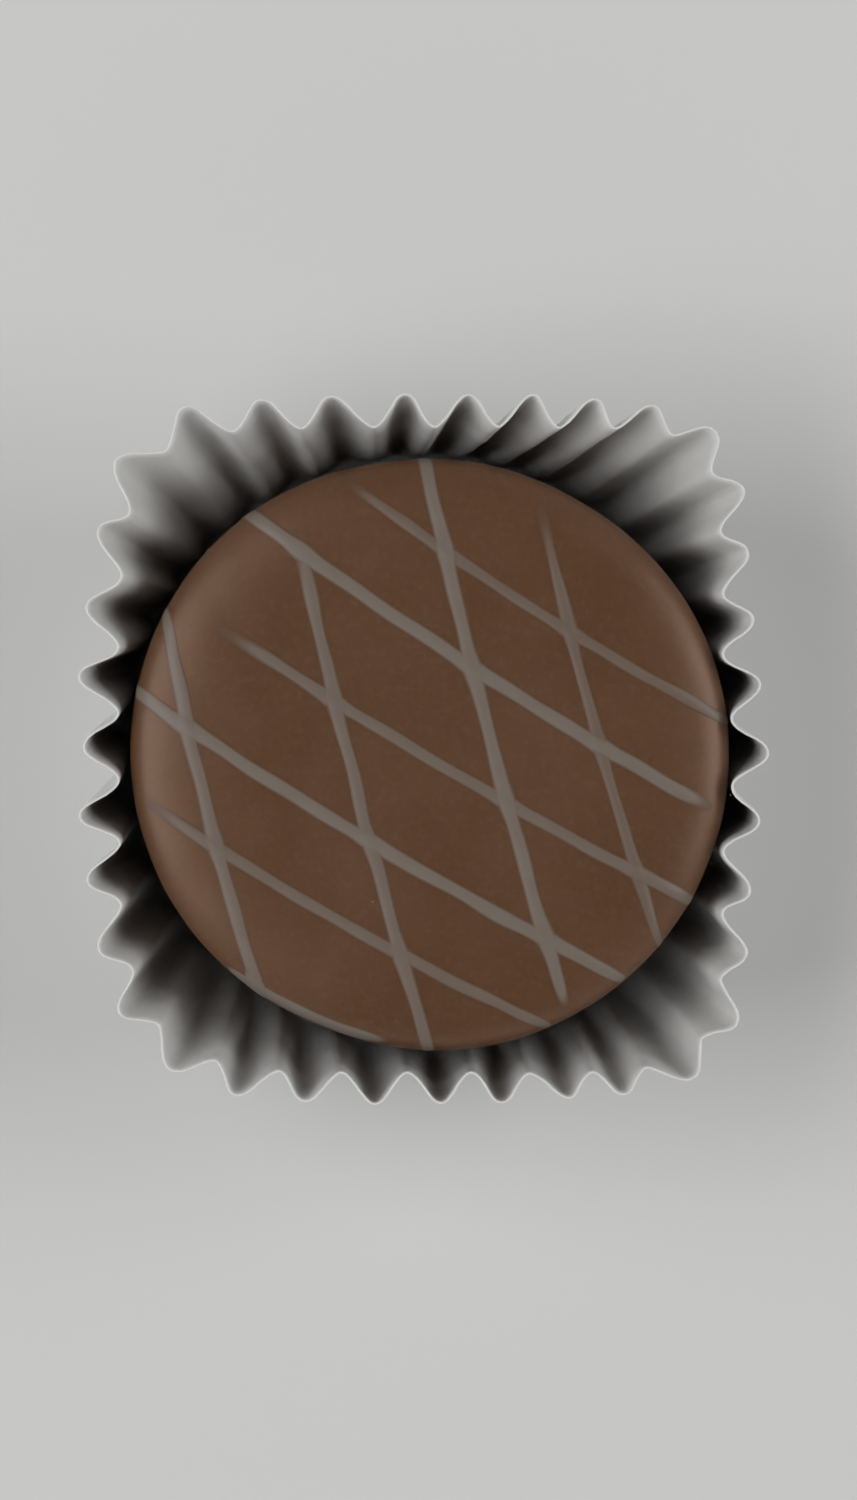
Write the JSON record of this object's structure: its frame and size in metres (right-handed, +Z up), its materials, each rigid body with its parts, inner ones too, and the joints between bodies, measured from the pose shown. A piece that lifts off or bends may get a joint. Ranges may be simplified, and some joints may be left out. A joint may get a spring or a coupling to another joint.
{
  "type": "chocolate truffle",
  "caption": "Round flat-topped milk chocolate with a thin drizzled lattice, standing in a fluted paper case whose rim is a rounded square.",
  "frame": {"origin": "middle of the paper case's flat underside", "axes": "+Z up out of the case, +X and +Y along the sides of the case's squared rim"},
  "size_m": [0.0347, 0.0358, 0.0146],
  "materials": {
    "milk_chocolate": "satin milk chocolate",
    "cream_drizzle": "thin threads of pale milk chocolate",
    "case_paper": "thin white greaseproof paper"
  },
  "bodies": {
    "root": {"truffle": "milk_chocolate", "paper_case": "case_paper"}
  },
  "joints": []
}
